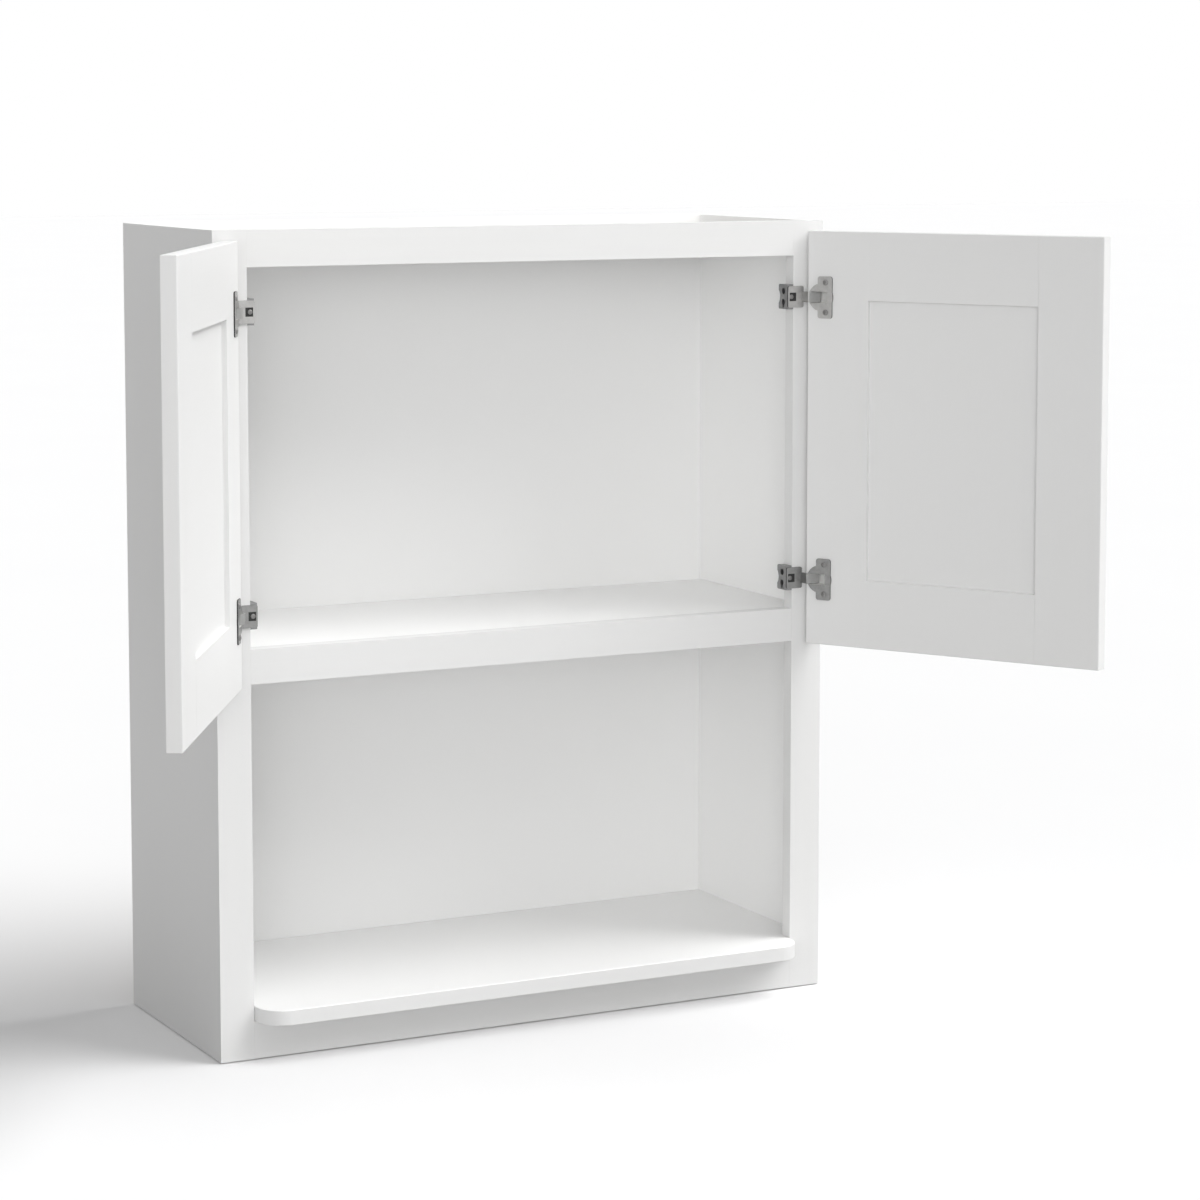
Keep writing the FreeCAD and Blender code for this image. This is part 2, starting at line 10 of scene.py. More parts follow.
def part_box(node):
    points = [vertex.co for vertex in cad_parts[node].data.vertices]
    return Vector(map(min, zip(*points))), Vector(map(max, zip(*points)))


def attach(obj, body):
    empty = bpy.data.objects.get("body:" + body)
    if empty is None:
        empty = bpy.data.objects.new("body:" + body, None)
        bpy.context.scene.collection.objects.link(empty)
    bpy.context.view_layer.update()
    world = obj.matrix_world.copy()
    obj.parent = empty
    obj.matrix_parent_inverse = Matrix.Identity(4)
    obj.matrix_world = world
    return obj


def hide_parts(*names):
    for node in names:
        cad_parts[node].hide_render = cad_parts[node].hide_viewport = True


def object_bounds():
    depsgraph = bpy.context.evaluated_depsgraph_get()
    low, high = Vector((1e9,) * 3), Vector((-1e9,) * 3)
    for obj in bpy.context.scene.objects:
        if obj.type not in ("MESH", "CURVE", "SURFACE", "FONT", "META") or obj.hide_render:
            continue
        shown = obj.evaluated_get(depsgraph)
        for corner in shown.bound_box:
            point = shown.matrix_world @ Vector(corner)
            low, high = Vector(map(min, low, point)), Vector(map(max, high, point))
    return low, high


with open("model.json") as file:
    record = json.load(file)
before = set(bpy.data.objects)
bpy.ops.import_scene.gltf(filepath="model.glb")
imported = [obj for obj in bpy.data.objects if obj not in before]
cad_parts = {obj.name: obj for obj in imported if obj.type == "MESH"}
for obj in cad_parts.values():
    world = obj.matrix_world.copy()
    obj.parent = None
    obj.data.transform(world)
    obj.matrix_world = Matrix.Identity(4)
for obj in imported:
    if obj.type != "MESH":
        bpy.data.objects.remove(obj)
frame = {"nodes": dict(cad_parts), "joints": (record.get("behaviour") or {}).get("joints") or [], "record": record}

scene = bpy.context.scene
nodes = frame["nodes"]
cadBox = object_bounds()
bodyOf = {node: body for body, group in frame["record"]["behaviour"]["bodies"].items() for node in group}
slotOf = {row["node"]: row["material_slot"] for row in frame["record"]["subparts"]}
print("frame loaded:", len(nodes), "nodes")


class Wire:
    # A node's output: arithmetic on it adds Math nodes, and add() puts in any other node

    def __init__(self, tree, socket=None):
        self.tree = tree
        self.socket = socket

    def add(self, kind, settings=None, sockets=None, output=0):
        made = self.tree.nodes.new(kind)
        for name, value in (settings or {}).items():
            if name == "stops":
                self.setStops(made.color_ramp, value)
            elif name == "choices":
                while len(made.index_switch_items) < value:
                    made.index_switch_items.new()
            else:
                setattr(made, name, value)
        for name, value in (sockets or {}).items():
            if isinstance(value, Wire):
                self.tree.links.new(value.socket, made.inputs[name])
            else:
                made.inputs[name].default_value = value
        return Wire(self.tree, made.outputs[output] if made.outputs else None)

    def setStops(self, ramp, stops):
        for element, (place, level) in zip(ramp.elements, stops):
            element.position = place
            element.color = (level, level, level, 1.0)

    def maths(self, operation, first, second):
        return self.add("ShaderNodeMath", {"operation": operation}, {0: first, 1: second})

    def __add__(self, other):
        return self.maths("ADD", self, other)

    def __radd__(self, other):
        return self.maths("ADD", other, self)

    def __sub__(self, other):
        return self.maths("SUBTRACT", self, other)

    def __rsub__(self, other):
        return self.maths("SUBTRACT", other, self)

    def __mul__(self, other):
        return self.maths("MULTIPLY", self, other)

    def __rmul__(self, other):
        return self.maths("MULTIPLY", other, self)

    def between(self, low, high):
        # 0 up to the low value, 1 from the high one on
        return self.add("ShaderNodeValToRGB", {"stops": ((low, 0.0), (high, 1.0))}, {"Fac": self})

    def blend(self, low, high):
        # From one colour to another as the value goes from 0 to 1
        return self.add("ShaderNodeMix", {"data_type": "RGBA"}, {0: self, 6: low, 7: high}, output=2)

    def tint(self, low, high):
        return self.blend((*low, 1.0), (*high, 1.0))


def newMaterial(name):
    material = bpy.data.materials.new(name)
    material.use_nodes = True
    material.node_tree.nodes.clear()
    wire = Wire(material.node_tree)
    return material, wire, wire.add("ShaderNodeTexCoord", output="Object")


def closeMaterial(wire, shader):
    wire.add("ShaderNodeOutputMaterial", sockets={"Surface": shader})


def noise(wire, place, scale=1.0, detail=2.0, roughness=0.5):
    sockets = {"Vector": place, "Scale": scale, "Detail": detail, "Roughness": roughness}
    return wire.add("ShaderNodeTexNoise", sockets=sockets)


def stretched(wire, place, along, length, across):
    scale = {"x": (length, across, across), "z": (across, across, length)}[along]
    return wire.add("ShaderNodeMapping", sockets={"Vector": place, "Scale": scale})


def alongAxis(wire, place, axis):
    return wire.add("ShaderNodeSeparateXYZ", sockets={0: place}, output=axis)


def bumped(wire, strength, height):
    return wire.add("ShaderNodeBump", sockets={"Strength": strength, "Distance": 1.0, "Height": height})


skin = 0.0008                                          # how deep a face's own finish reaches
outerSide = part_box("right_side_panel")[1].x - skin
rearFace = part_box("back_panel")[1].y - skin
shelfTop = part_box("microwave_shelf")[1].z - skin
thinFace = {                                           # hidden faces with a thin coat
    "side": ("Y", "GREATER_THAN", rearFace),
    "back": ("Y", "GREATER_THAN", rearFace),
    "top": ("Z", "GREATER_THAN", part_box("top_panel")[1].z - skin),
    "bottom": ("Z", "LESS_THAN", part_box("bottom_panel")[0].z + skin),
}
boardKind = {
    "left_side_panel": "side", "right_side_panel": "side", "back_panel": "back", "top_panel": "top",
    "bottom_panel": "bottom", "middle_deck": "deck", "microwave_shelf": "shelf",
}

paint = {
    "white": ((0.80, 0.80, 0.797), (0.775, 0.772, 0.763)),
    # lighter than the outside white: partly a white lining, partly painted light standing in for the interior's
    # bright fill
    "linerWithPaintedLight": ((0.95, 0.95, 0.946), (0.93, 0.928, 0.92)),
    # the back's lining is a shade darker than the sides': painted shade
    "back": ((0.85, 0.85, 0.847), (0.83, 0.828, 0.82)),
    "peel": {"scale": 520.0}, "peelShare": 0.08, "peelHeight": 0.00003,
    "cloud": {"scale": 2.2, "detail": 3.0}, "cloudBand": (0.3, 0.75), "cloudShare": 0.6,
    "grain": {"detail": 3.0, "roughness": 0.6}, "grainBand": (0.35, 0.7), "grainShare": 0.12,
    "grainAcross": 420.0, "grainAlong": 9.0, "grainHeight": 0.000012, "boardGrain": 0.35,
    "roughLow": 0.36, "roughHigh": 0.5, "bump": 0.6,
    "gloss": {"Specular IOR Level": 0.42, "Coat Weight": 0.08, "Coat Roughness": 0.22},
}
thinCoat = {
    "veneer": ((0.86, 0.71, 0.52), (0.64, 0.46, 0.29)),
    "figure": {"detail": 5.0, "roughness": 0.6}, "figureBand": (0.34, 0.68), "figureShare": 0.7,
    "figureAcross": 60.0, "figureAlong": 2.4, "ply": 0.0018, "plyBand": (0.4, 0.6),
    "showThrough": {"side": 0.5, "back": 0.5, "top": 0.1, "bottom": 0.5}, "thickest": 0.75,
    "addedRough": 0.2, "addedHeight": 0.00002,
}


def outerFace(wire, place, kind):
    # 1 where a board wears the frame's white and not the brighter lining white, which is partly painted light: the
    # shelf's top is lighter than its front edge and underside
    if kind == "shelf":
        return wire.maths("LESS_THAN", alongAxis(wire, place, "Z"), shelfTop)
    return wire.maths("GREATER_THAN", wire.maths("ABSOLUTE", alongAxis(wire, place, "X"), 0.0), outerSide)


def woodFigure(wire, place, along, kind):
    # Plies on the sides' rear edges, and a veneer's figure on the other hidden faces
    if kind == "side":
        plies = alongAxis(wire, place, "X") * (0.5 / thinCoat["ply"])
        return wire.maths("PINGPONG", plies, 0.5).between(*thinCoat["plyBand"])
    lengthwise = stretched(wire, place, along, thinCoat["figureAlong"], thinCoat["figureAcross"])
    return noise(wire, lengthwise, **thinCoat["figure"]).between(*thinCoat["figureBand"])


def sprayedPaint(name, along="z", turn=0.0, kind="frame"):
    # Satin sprayed paint: a faint orange peel over the wood's grain, which runs along one axis.
    # Boards are lined in a brighter white, partly a lighter lining and partly painted light for the lit interior
    # and shelf top, and a thin coat on hidden faces lets veneer or plies show
    material, wire, place = newMaterial(name)
    turned = wire.add("ShaderNodeMapping", sockets={"Vector": place, "Rotation": (0.0, 0.0, turn)})
    fibre = stretched(wire, turned, along, paint["grainAlong"], paint["grainAcross"])
    grain = noise(wire, fibre, **paint["grain"]).between(*paint["grainBand"])
    peel = noise(wire, place, **paint["peel"])
    cloud = noise(wire, place, **paint["cloud"]).between(*paint["cloudBand"])
    grainLevel = 1.0 if kind == "frame" else paint["boardGrain"]
    lines = grain * (paint["grainShare"] * grainLevel)
    mask = cloud * paint["cloudShare"] + lines + peel * paint["peelShare"]
    rough = paint["roughLow"] + (cloud + peel) * ((paint["roughHigh"] - paint["roughLow"]) / 2)
    relief = peel * paint["peelHeight"] + grain * (paint["grainHeight"] * grainLevel)
    white = mask.tint(*paint["white"])
    colour = white
    if kind != "frame":
        linerWithPaintedLight = mask.tint(*paint["back" if kind == "back" else "linerWithPaintedLight"])
        colour = outerFace(wire, place, kind).blend(linerWithPaintedLight, white)
    if kind in thinFace:
        axis, test, level = thinFace[kind]
        thin = wire.maths(test, alongAxis(wire, place, axis), level)
        figure = woodFigure(wire, place, along, kind) * thinCoat["figureShare"]
        veneer = (figure + grain * (1 - thinCoat["figureShare"])).tint(*thinCoat["veneer"])
        cover = thinCoat["thickest"] + cloud * (1 - thinCoat["thickest"])
        colour = thin.blend(colour, (cover * thinCoat["showThrough"][kind]).blend(white, veneer))
        rough = rough + thin * thinCoat["addedRough"]
        relief = relief + grain * thin * thinCoat["addedHeight"]
    shader = wire.add("ShaderNodeBsdfPrincipled", sockets={
        "Base Color": colour, "Roughness": rough, "Normal": bumped(wire, paint["bump"], relief),
        **paint["gloss"]})
    closeMaterial(wire, shader)
    return material


plating = {
    "nickel": {"tones": ((0.52, 0.515, 0.505), (0.37, 0.365, 0.36)), "rough": (0.26, 0.42)},
    # the same nickel made darker for the lower pair: painted shade
    "nickelPaintedShade": {"tones": ((0.34, 0.34, 0.335), (0.23, 0.23, 0.227)), "rough": (0.3, 0.46)},
    "cast": {"tones": ((0.33, 0.33, 0.33), (0.22, 0.22, 0.22)), "rough": (0.35, 0.5)},
    "zinc": {"tones": ((0.34, 0.335, 0.33), (0.19, 0.187, 0.185)), "rough": (0.28, 0.45)},
    # near-black: partly the sheared steel's own dull edge, partly painted shade and painted dark reflection on
    # edges, window floors and screws
    "edge": {"tones": ((0.05,) * 3, (0.025,) * 3), "rough": (0.45, 0.6), "metallic": 0.5},
}
steel = {
    "lines": {"detail": 3.0}, "drawn": (900.0, 900.0, 6000.0), "lineShare": 0.25, "lineHeight": 0.00001,
    "cloud": {"scale": 160.0, "detail": 4.0, "roughness": 0.6}, "cloudBand": (0.3, 0.72), "cloudShare": 0.6,
    "pits": {"scale": 2600.0, "detail": 1.0}, "pitBand": (0.62, 0.78), "pitShare": 0.2, "pitDepth": 0.00002,
    "bump": 0.5,
}


def platedSteel(name, tones, rough, metallic=0.9):
    # Plated pressed steel: cloudy plate, fine drawing lines and a few pits
    material, wire, place = newMaterial(name)
    drawn = wire.add("ShaderNodeMapping", sockets={"Vector": place, "Scale": steel["drawn"]})
    lines = noise(wire, drawn, **steel["lines"])
    cloud = noise(wire, place, **steel["cloud"]).between(*steel["cloudBand"])
    pits = noise(wire, place, **steel["pits"]).between(*steel["pitBand"])
    mask = cloud * steel["cloudShare"] + lines * steel["lineShare"] + pits * steel["pitShare"]
    low, high = rough
    relief = lines * steel["lineHeight"] - pits * steel["pitDepth"]
    shader = wire.add("ShaderNodeBsdfPrincipled", sockets={
        "Base Color": mask.tint(*tones), "Roughness": low + (cloud + lines) * ((high - low) / 2),
        "Normal": bumped(wire, steel["bump"], relief), "Metallic": metallic})
    closeMaterial(wire, shader)
    return material


nylon = {
    # the pale tones are partly a nylon insert and partly painted light lifting the cup's shaded recess
    "paleWithPaintedLight": ((0.80, 0.80, 0.785), (0.72, 0.72, 0.70)), "grey": ((0.40, 0.40, 0.395), (0.33, 0.33, 0.325)),
    "flow": {"scale": 240.0, "detail": 3.0}, "flowBand": (0.3, 0.7), "flowShare": 0.7,
    "grain": {"scale": 3000.0, "detail": 1.0}, "grainHeight": 0.00002, "bump": 0.4,
    "roughLow": 0.42, "roughSpan": 0.12,
}


def mouldedNylon(name, tones):
    # The lining of the hinge cups and the sleeve on each eye: faint flow marks and a spark-eroded grain. The
    # lining's pale tone is partly painted light, lifting the shade in the cup's recess
    material, wire, place = newMaterial(name)
    flow = noise(wire, place, **nylon["flow"]).between(*nylon["flowBand"])
    grain = noise(wire, place, **nylon["grain"])
    mask = flow * nylon["flowShare"] + grain * (1 - nylon["flowShare"])
    shader = wire.add("ShaderNodeBsdfPrincipled", sockets={
        "Base Color": mask.tint(*tones), "Roughness": nylon["roughLow"] + grain * nylon["roughSpan"],
        "Normal": bumped(wire, nylon["bump"], grain * nylon["grainHeight"])})
    closeMaterial(wire, shader)
    return material


beech = {
    "tones": ((0.64, 0.46, 0.29), (0.50, 0.33, 0.19)), "grain": {"detail": 4.0}, "grainBand": (0.3, 0.7),
    "grainAlong": 30.0, "grainAcross": 900.0, "grainHeight": 0.00008, "bump": 0.5,
    "roughLow": 0.55, "roughSpan": 0.15,
}


def bareBeech(name):
    material, wire, place = newMaterial(name)
    fibre = stretched(wire, place, "x", beech["grainAlong"], beech["grainAcross"])
    grain = noise(wire, fibre, **beech["grain"]).between(*beech["grainBand"])
    shader = wire.add("ShaderNodeBsdfPrincipled", sockets={
        "Base Color": grain.tint(*beech["tones"]),
        "Roughness": beech["roughLow"] + grain * beech["roughSpan"],
        "Normal": bumped(wire, beech["bump"], grain * beech["grainHeight"])})
    closeMaterial(wire, shader)
    return material


jointOf = {row["child"]: row for row in frame["joints"]}
openAngle = math.radians(jointOf["left_door"]["range_deg"][1])
finishes = {
    "upright": sprayedPaint("paintUpright"),
    "across": sprayedPaint("paintAcross", "x"),
    "leftAcross": sprayedPaint("paintAcrossLeftDoor", "x", turn=openAngle),
    "rightAcross": sprayedPaint("paintAcrossRightDoor", "x", turn=-openAngle),
    "side": sprayedPaint("paintSide", kind="side"),
    "back": sprayedPaint("paintBack", kind="back"),
    "top": sprayedPaint("paintTop", "x", kind="top"),
    "bottom": sprayedPaint("paintBottom", "x", kind="bottom"),
    "deck": sprayedPaint("paintDeck", "x", kind="deck"),
    "shelf": sprayedPaint("paintShelf", "x", kind="shelf"),
    "nickel": platedSteel("nickelPlate", **plating["nickel"]),
    "nickelPaintedShade": platedSteel("nickelPlatePaintedShade", **plating["nickelPaintedShade"]),
    "shearedEdgeAndShade": platedSteel("shearedEdgeAndShade", **plating["edge"]),
    "cast": platedSteel("castZinc", **plating["cast"]),
    "zinc": platedSteel("zincPlate", **plating["zinc"]),
    "liningWithPaintedLight": mouldedNylon("cupLiningWithPaintedLight", nylon["paleWithPaintedLight"]),
    "sleeve": mouldedNylon("eyeSleeve", nylon["grey"]),
    "beech": bareBeech("bareBeech"),
}


def finishOf(node):
    slot = slotOf[node]
    if slot == "nickel_plate":
        if node.endswith("_base"):
            return "cast"
        # the lower hinges take the darker copy of the nickel: painted shade
        return "nickelPaintedShade" if "_lower_" in node else "nickel"
    if slot == "screw_steel":
        return "zinc"
    if slot == "beech":
        return "beech"
    if node.startswith(("left_door", "right_door")) and node.endswith("_rail"):
        return node.split("_")[0] + "Across"
    if node in boardKind:
        return boardKind[node]
    return "across" if node.endswith("_rail") else "upright"


for node, thing in nodes.items():
    thing.data.materials.clear()
    thing.data.materials.append(finishes[finishOf(node)])
print("finishes given")

openDoor = {"left": -openAngle, "right": openAngle}


def hingeFrame(side, swing):
    # From a hinge's own frame to the world: the pin is its Z axis, X runs inward and Y to the wall
    turn = math.pi if side == "right" else 0.0
    spot = Matrix.Translation(jointOf[side + "_door"]["pos_m"])
    return spot @ Matrix.Rotation(swing, 4, "Z") @ Matrix.Rotation(turn, 4, "Y")


def localBox(node, matrix):
    inverse = matrix.inverted()
    spots = [inverse @ vertex.co for vertex in nodes[node].data.vertices]
    return [Vector([pick(spot[axis] for spot in spots) for axis in range(3)]) for pick in (min, max)]


def addPiece(name, mesh, body, slot, *stoodFor):
    piece = bpy.data.objects.new(name, mesh)
    scene.collection.objects.link(piece)
    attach(piece, body)
    if stoodFor:
        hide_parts(*stoodFor)
    return piece


def evaluated(thing):
    # The finished mesh of a working object, which is then thrown away
    mesh = bpy.data.meshes.new_from_object(thing.evaluated_get(bpy.context.evaluated_depsgraph_get()))
    bpy.data.objects.remove(thing)
    return mesh


easing = {
    "board": 0.0004, "steel": 0.00018, "segments": 2, "angle": math.radians(40.0),
    "weld": 0.000005, "flat": math.radians(0.5), "sharp": math.radians(35.0), "evenWeight": 100,
}


def easedCopy(node, radius):
    # The node's own shape with its sharp edges taken off
    mesh = nodes[node].data.copy()
    work = bmesh.new()
    work.from_mesh(mesh)
    bmesh.ops.remove_doubles(work, verts=work.verts, dist=easing["weld"])
    bmesh.ops.dissolve_limit(
        work, angle_limit=easing["flat"], verts=work.verts, edges=work.edges, delimit={"NORMAL"})
    work.to_mesh(mesh)
    work.free()
    mesh.shade_smooth()
    rough = bpy.data.objects.new(node + "_rough", mesh)
    scene.collection.objects.link(rough)
    bevel = rough.modifiers.new("easing", "BEVEL")
    bevel.width = radius
    bevel.segments = easing["segments"]
    bevel.limit_method = "ANGLE"
    bevel.angle_limit = easing["angle"]
    even = rough.modifiers.new("even", "WEIGHTED_NORMAL")     # keeps broad faces flat beside the rounding
    even.weight = easing["evenWeight"]
    return addPiece(node + "_eased", evaluated(rough), bodyOf[node], slotOf[node], node)


for node in sorted(nodes):
    if slotOf[node] in ("painted_wood", "painted_plywood"):
        easedCopy(node, easing["board"])
print("boards eased")

pressing = {"edgeLean": 0.6, "plate": 0.002, "windowFrom": 0.0006, "sleeve": 0.0095, "skin": 0.00002}


def pressedCopy(node, side, onDoor):
    # Pressed steel shows a dark sheared edge all round, and the same near-black on the window's floor and on faces
    # turned up or down is painted shade; the cup has a pale lining, partly painted light that lifts its recess's
    # shade, and the eye a sleeve
    piece = easedCopy(node, easing["steel"])
    matrix = hingeFrame(side, openDoor[side] if onDoor else 0.0)
    inverse = matrix.inverted()
    turned = inverse.to_3x3()
    doorFace = localBox(side + "_door_hinge_stile", matrix)[1].y
    plateFront = localBox(node, matrix)[1].y - pressing["plate"] - pressing["skin"]
    edge, inner = 1, 2                             # their places in the piece's list of materials
    for finish in ("shearedEdgeAndShade", "liningWithPaintedLight" if onDoor else "sleeve"):
        piece.data.materials.append(finishes[finish])
    for face in piece.data.polygons:
        spot = inverse @ face.center
        normal = turned @ face.normal
        upright = abs(normal.y) < pressing["edgeLean"]
        # faces sunk below the door's face take the pale lining, partly painted light in the recess's shade
        if onDoor and spot.y < doorFace - pressing["skin"]:
            face.material_index = inner
        elif onDoor and upright:
            face.material_index = edge
        elif not onDoor:
            inPlate = spot.y > plateFront and upright
            # the plate's window walls and floor, and faces turned up or down, take the near-black: painted shade
            windowFloor = normal.y < -pressing["edgeLean"] and spot.y > plateFront + pressing["windowFrom"]
            if spot.xy.length < pressing["sleeve"]:
                face.material_index = inner
            elif inPlate or windowFloor or abs(normal.z) > pressing["edgeLean"]:
                face.material_index = edge


hinges = [(side, f"{side}_{height}_hinge") for side in openDoor for height in ("upper", "lower")]
for side, hinge in hinges:
    pressedCopy(hinge + "_cup", side, True)
    pressedCopy(hinge + "_arm", side, False)
    easedCopy(hinge + "_base", easing["steel"])
    easedCopy(hinge + "_pin", easing["steel"])
print("hinges finished")

bead = {"radius": 0.0013, "sunk": 0.0002, "steps": 5}


def paintBead(side):
    # The paint bridges the joint between each door's panel and the frame round it, on both faces
    door = side + "_door"
    matrix = hingeFrame(side, openDoor[side])
    left = localBox(door + "_hinge_stile", matrix)[1].x
    right = localBox(door + "_free_stile", matrix)[0].x
    railLevels = [localBox(f"{door}_{end}_rail", matrix) for end in ("top", "bottom")]
    railLevels.sort(key=lambda box: box[0].z)
    low, high = railLevels[0][1].z, railLevels[1][0].z
    panelLow, panelHigh = localBox(door + "_panel", matrix)
    quarter = [math.radians(90.0) * step / bead["steps"] for step in range(bead["steps"] + 1)]
    radius = bead["radius"]
    section = [(radius * (1 - math.cos(turn)), radius * (1 - math.sin(turn))) for turn in quarter]
    section.append((-bead["sunk"], -bead["sunk"]))
    work = bmesh.new()
    for face, outward in ((panelHigh.y, 1), (panelLow.y, -1)):
        rings = []
        for inset, rise in section:
            corners = [
                (left + inset, low + inset), (right - inset, low + inset),
                (right - inset, high - inset), (left + inset, high - inset)]
            rings.append([work.verts.new(matrix @ Vector((x, face + outward * rise, z))) for x, z in corners])
        for ring, following in zip(rings, rings[1:] + rings[:1]):
            for corner in range(4):
                after = (corner + 1) % 4
                work.faces.new((ring[corner], ring[after], following[after], following[corner]))
    bmesh.ops.recalc_face_normals(work, faces=work.faces)
    mesh = bpy.data.meshes.new(door + "_bead")
    work.to_mesh(mesh)
    work.free()
    mesh.materials.append(finishes["upright"])
    addPiece(door + "_panel_bead", mesh, door, "painted_wood")


for side in openDoor:
    paintBead(side)
print("door panels beaded")


def newTree(name, inputs):
    tree = bpy.data.node_groups.new(name, "GeometryNodeTree")
    tree.interface.new_socket("Geometry", in_out="OUTPUT", socket_type="NodeSocketGeometry")
    tree.interface.new_socket("Geometry", in_out="INPUT", socket_type="NodeSocketGeometry")
    for label in inputs:
        tree.interface.new_socket(label, in_out="INPUT", socket_type="NodeSocketFloat")
    tree.interface.new_socket("Finish", in_out="INPUT", socket_type="NodeSocketMaterial")
    return Wire(tree)


def given(wire, label):
    return wire.add("NodeGroupInput", output=label)


def lathe(wire, rows, columns, shape):
    # A turned form: shape() gives the radius and the height of each point from its row and angle
    across = columns + 1
    sheet = wire.add("GeometryNodeMeshGrid", sockets={"Vertices X": rows, "Vertices Y": across})
    index = wire.add("GeometryNodeInputIndex")
    row = wire.maths("FLOOR", (index + 0.5) * (1.0 / across), 0.0)
    angle = (index - row * across) * (2.0 * math.pi / columns)
    radius, height = shape(row, angle)
    spot = wire.add("ShaderNodeCombineXYZ", sockets={
        0: radius * wire.maths("COSINE", angle, 0.0), 1: radius * wire.maths("SINE", angle, 0.0), 2: height})
    return wire.add("GeometryNodeSetPosition", sockets={"Geometry": sheet, "Position": spot})


def chosen(wire, row, values):
    sockets = {str(index): value for index, value in enumerate(values)}
    settings = {"data_type": "FLOAT", "choices": len(values)}
    return wire.add("GeometryNodeIndexSwitch", settings, {"Index": row, **sockets})


def welded(wire, *forms):
    joined = forms[0]
    if len(forms) > 1:
        joined = wire.add("GeometryNodeJoinGeometry")
        for form in forms:
            wire.tree.links.new(form.socket, joined.socket.node.inputs["Geometry"])
    return wire.add("GeometryNodeMergeByDistance", sockets={"Geometry": joined, "Distance": easing["weld"]})


pointLayers = {"aim": "FLOAT_VECTOR", "spin": "FLOAT"}


def setOut(wire, form):
    # One copy of the form on each point, turned along the point's own aim
    aim, spin = [
        wire.add("GeometryNodeInputNamedAttribute", {"data_type": kind}, {"Name": label}, output="Attribute")
        for label, kind in pointLayers.items()]
    own = wire.add("FunctionNodeAxisAngleToRotation", sockets={"Axis": (0.0, 0.0, 1.0), "Angle": spin})
    turned = wire.add("FunctionNodeAlignRotationToVector", {"axis": "Z"}, {"Rotation": own, "Vector": aim})
    copies = wire.add("GeometryNodeInstanceOnPoints", sockets={
        "Points": given(wire, "Geometry"), "Instance": form, "Rotation": turned})
    real = wire.add("GeometryNodeRealizeInstances", sockets={"Geometry": copies})
    done = wire.add("GeometryNodeSetMaterial", sockets={"Geometry": real, "Material": given(wire, "Finish")})
    wire.add("NodeGroupOutput", sockets={"Geometry": done})
    return wire.tree


screw = {
    "columns": 24, "rowsPerTurn": 4.0, "pitch": 0.0015, "root": 0.78, "point": 0.0035,
    "crown": ((0.0, 1.0), (0.42, 1.0), (0.74, 0.9), (0.92, 0.68), (1.0, 0.36), (1.0, 0.0)),
    "slotSpan": 0.6, "slotWidth": 0.2, "slotDepth": 0.75, "slotShares": (1.0, 0.96), "spinSeed": 11,
}


def screwTree():
    wire = newTree("turnedScrew", (
        "Head Radius", "Head Height", "Shank Radius", "Length", "Point", "Pitch", "Root",
        "Slot Span", "Slot Width", "Slot Depth"))
    headRadius, headHeight = given(wire, "Head Radius"), given(wire, "Head Height")
    root = given(wire, "Shank Radius") * given(wire, "Root")
    crest = given(wire, "Shank Radius")
    length = given(wire, "Length")

    def crown(row, angle):
        radii = [headRadius * share for share, level in screw["crown"]] + [root]
        levels = [headHeight * level for share, level in screw["crown"]] + [0.0]
        return chosen(wire, row, radii), chosen(wire, row, levels)

    turns = wire.maths("DIVIDE", length, given(wire, "Pitch"))
    rows = wire.maths("CEIL", turns * screw["rowsPerTurn"], 0.0) + 1

    def thread(row, angle):
        share = wire.maths("DIVIDE", row, rows - 1)
        lead = share * turns + angle * (0.5 / math.pi)
        ridge = wire.maths("PINGPONG", lead, 0.5) * 2
        start = wire.maths("MINIMUM", share * turns, 1.0)
        taper = wire.maths("MINIMUM", wire.maths("DIVIDE", (1 - share) * length, given(wire, "Point")), 1.0)
        return (root + (crest - root) * ridge * start) * taper, share * length * -1

    columns = screw["columns"]
    head = lathe(wire, len(screw["crown"]) + 1, columns, crown)
    shank = lathe(wire, rows, columns, thread)
    solid = welded(wire, head, shank)
    for index, share in enumerate(screw["slotShares"]):     # level floors would leave stray faces
        size = wire.add("ShaderNodeCombineXYZ", sockets={
            0: headRadius * given(wire, "Slot Span") * 2, 1: headRadius * given(wire, "Slot Width") * 2,
            2: headHeight * given(wire, "Slot Depth") * (2 * share)})
        bar = wire.add("GeometryNodeMeshCube", sockets={"Size": size})
        lift = wire.add("ShaderNodeCombineXYZ", sockets={2: headHeight})
        bar = wire.add("GeometryNodeTransform", sockets={
            "Geometry": bar, "Translation": lift, "Rotation": (0.0, 0.0, math.radians(90.0) * index)})
        sockets = {"Mesh 1": solid, "Mesh 2": bar}
        solid = wire.add("GeometryNodeMeshBoolean", {"operation": "DIFFERENCE"}, sockets)
    return setOut(wire, solid)


def solidsOf(node):
    # The separate solids of a node, each as a list of its points
    work = bmesh.new()
    work.from_mesh(nodes[node].data)
    bmesh.ops.remove_doubles(work, verts=work.verts, dist=easing["weld"])
    waiting = set(work.verts)
    groups = []
    for start in work.verts:                       # in the mesh's own order, the same on each run
        if start not in waiting:
            continue
        waiting.remove(start)
        reached = [start]
        for vertex in reached:
            near = {edge.other_vert(vertex) for edge in vertex.link_edges} & waiting
            waiting -= near
            reached.extend(near)
        groups.append([vertex.co.copy() for vertex in reached])
    work.free()
    return groups


gauge = {"rim": 0.98, "neck": 0.3}        # shares of a head's radius and of the length below its seat


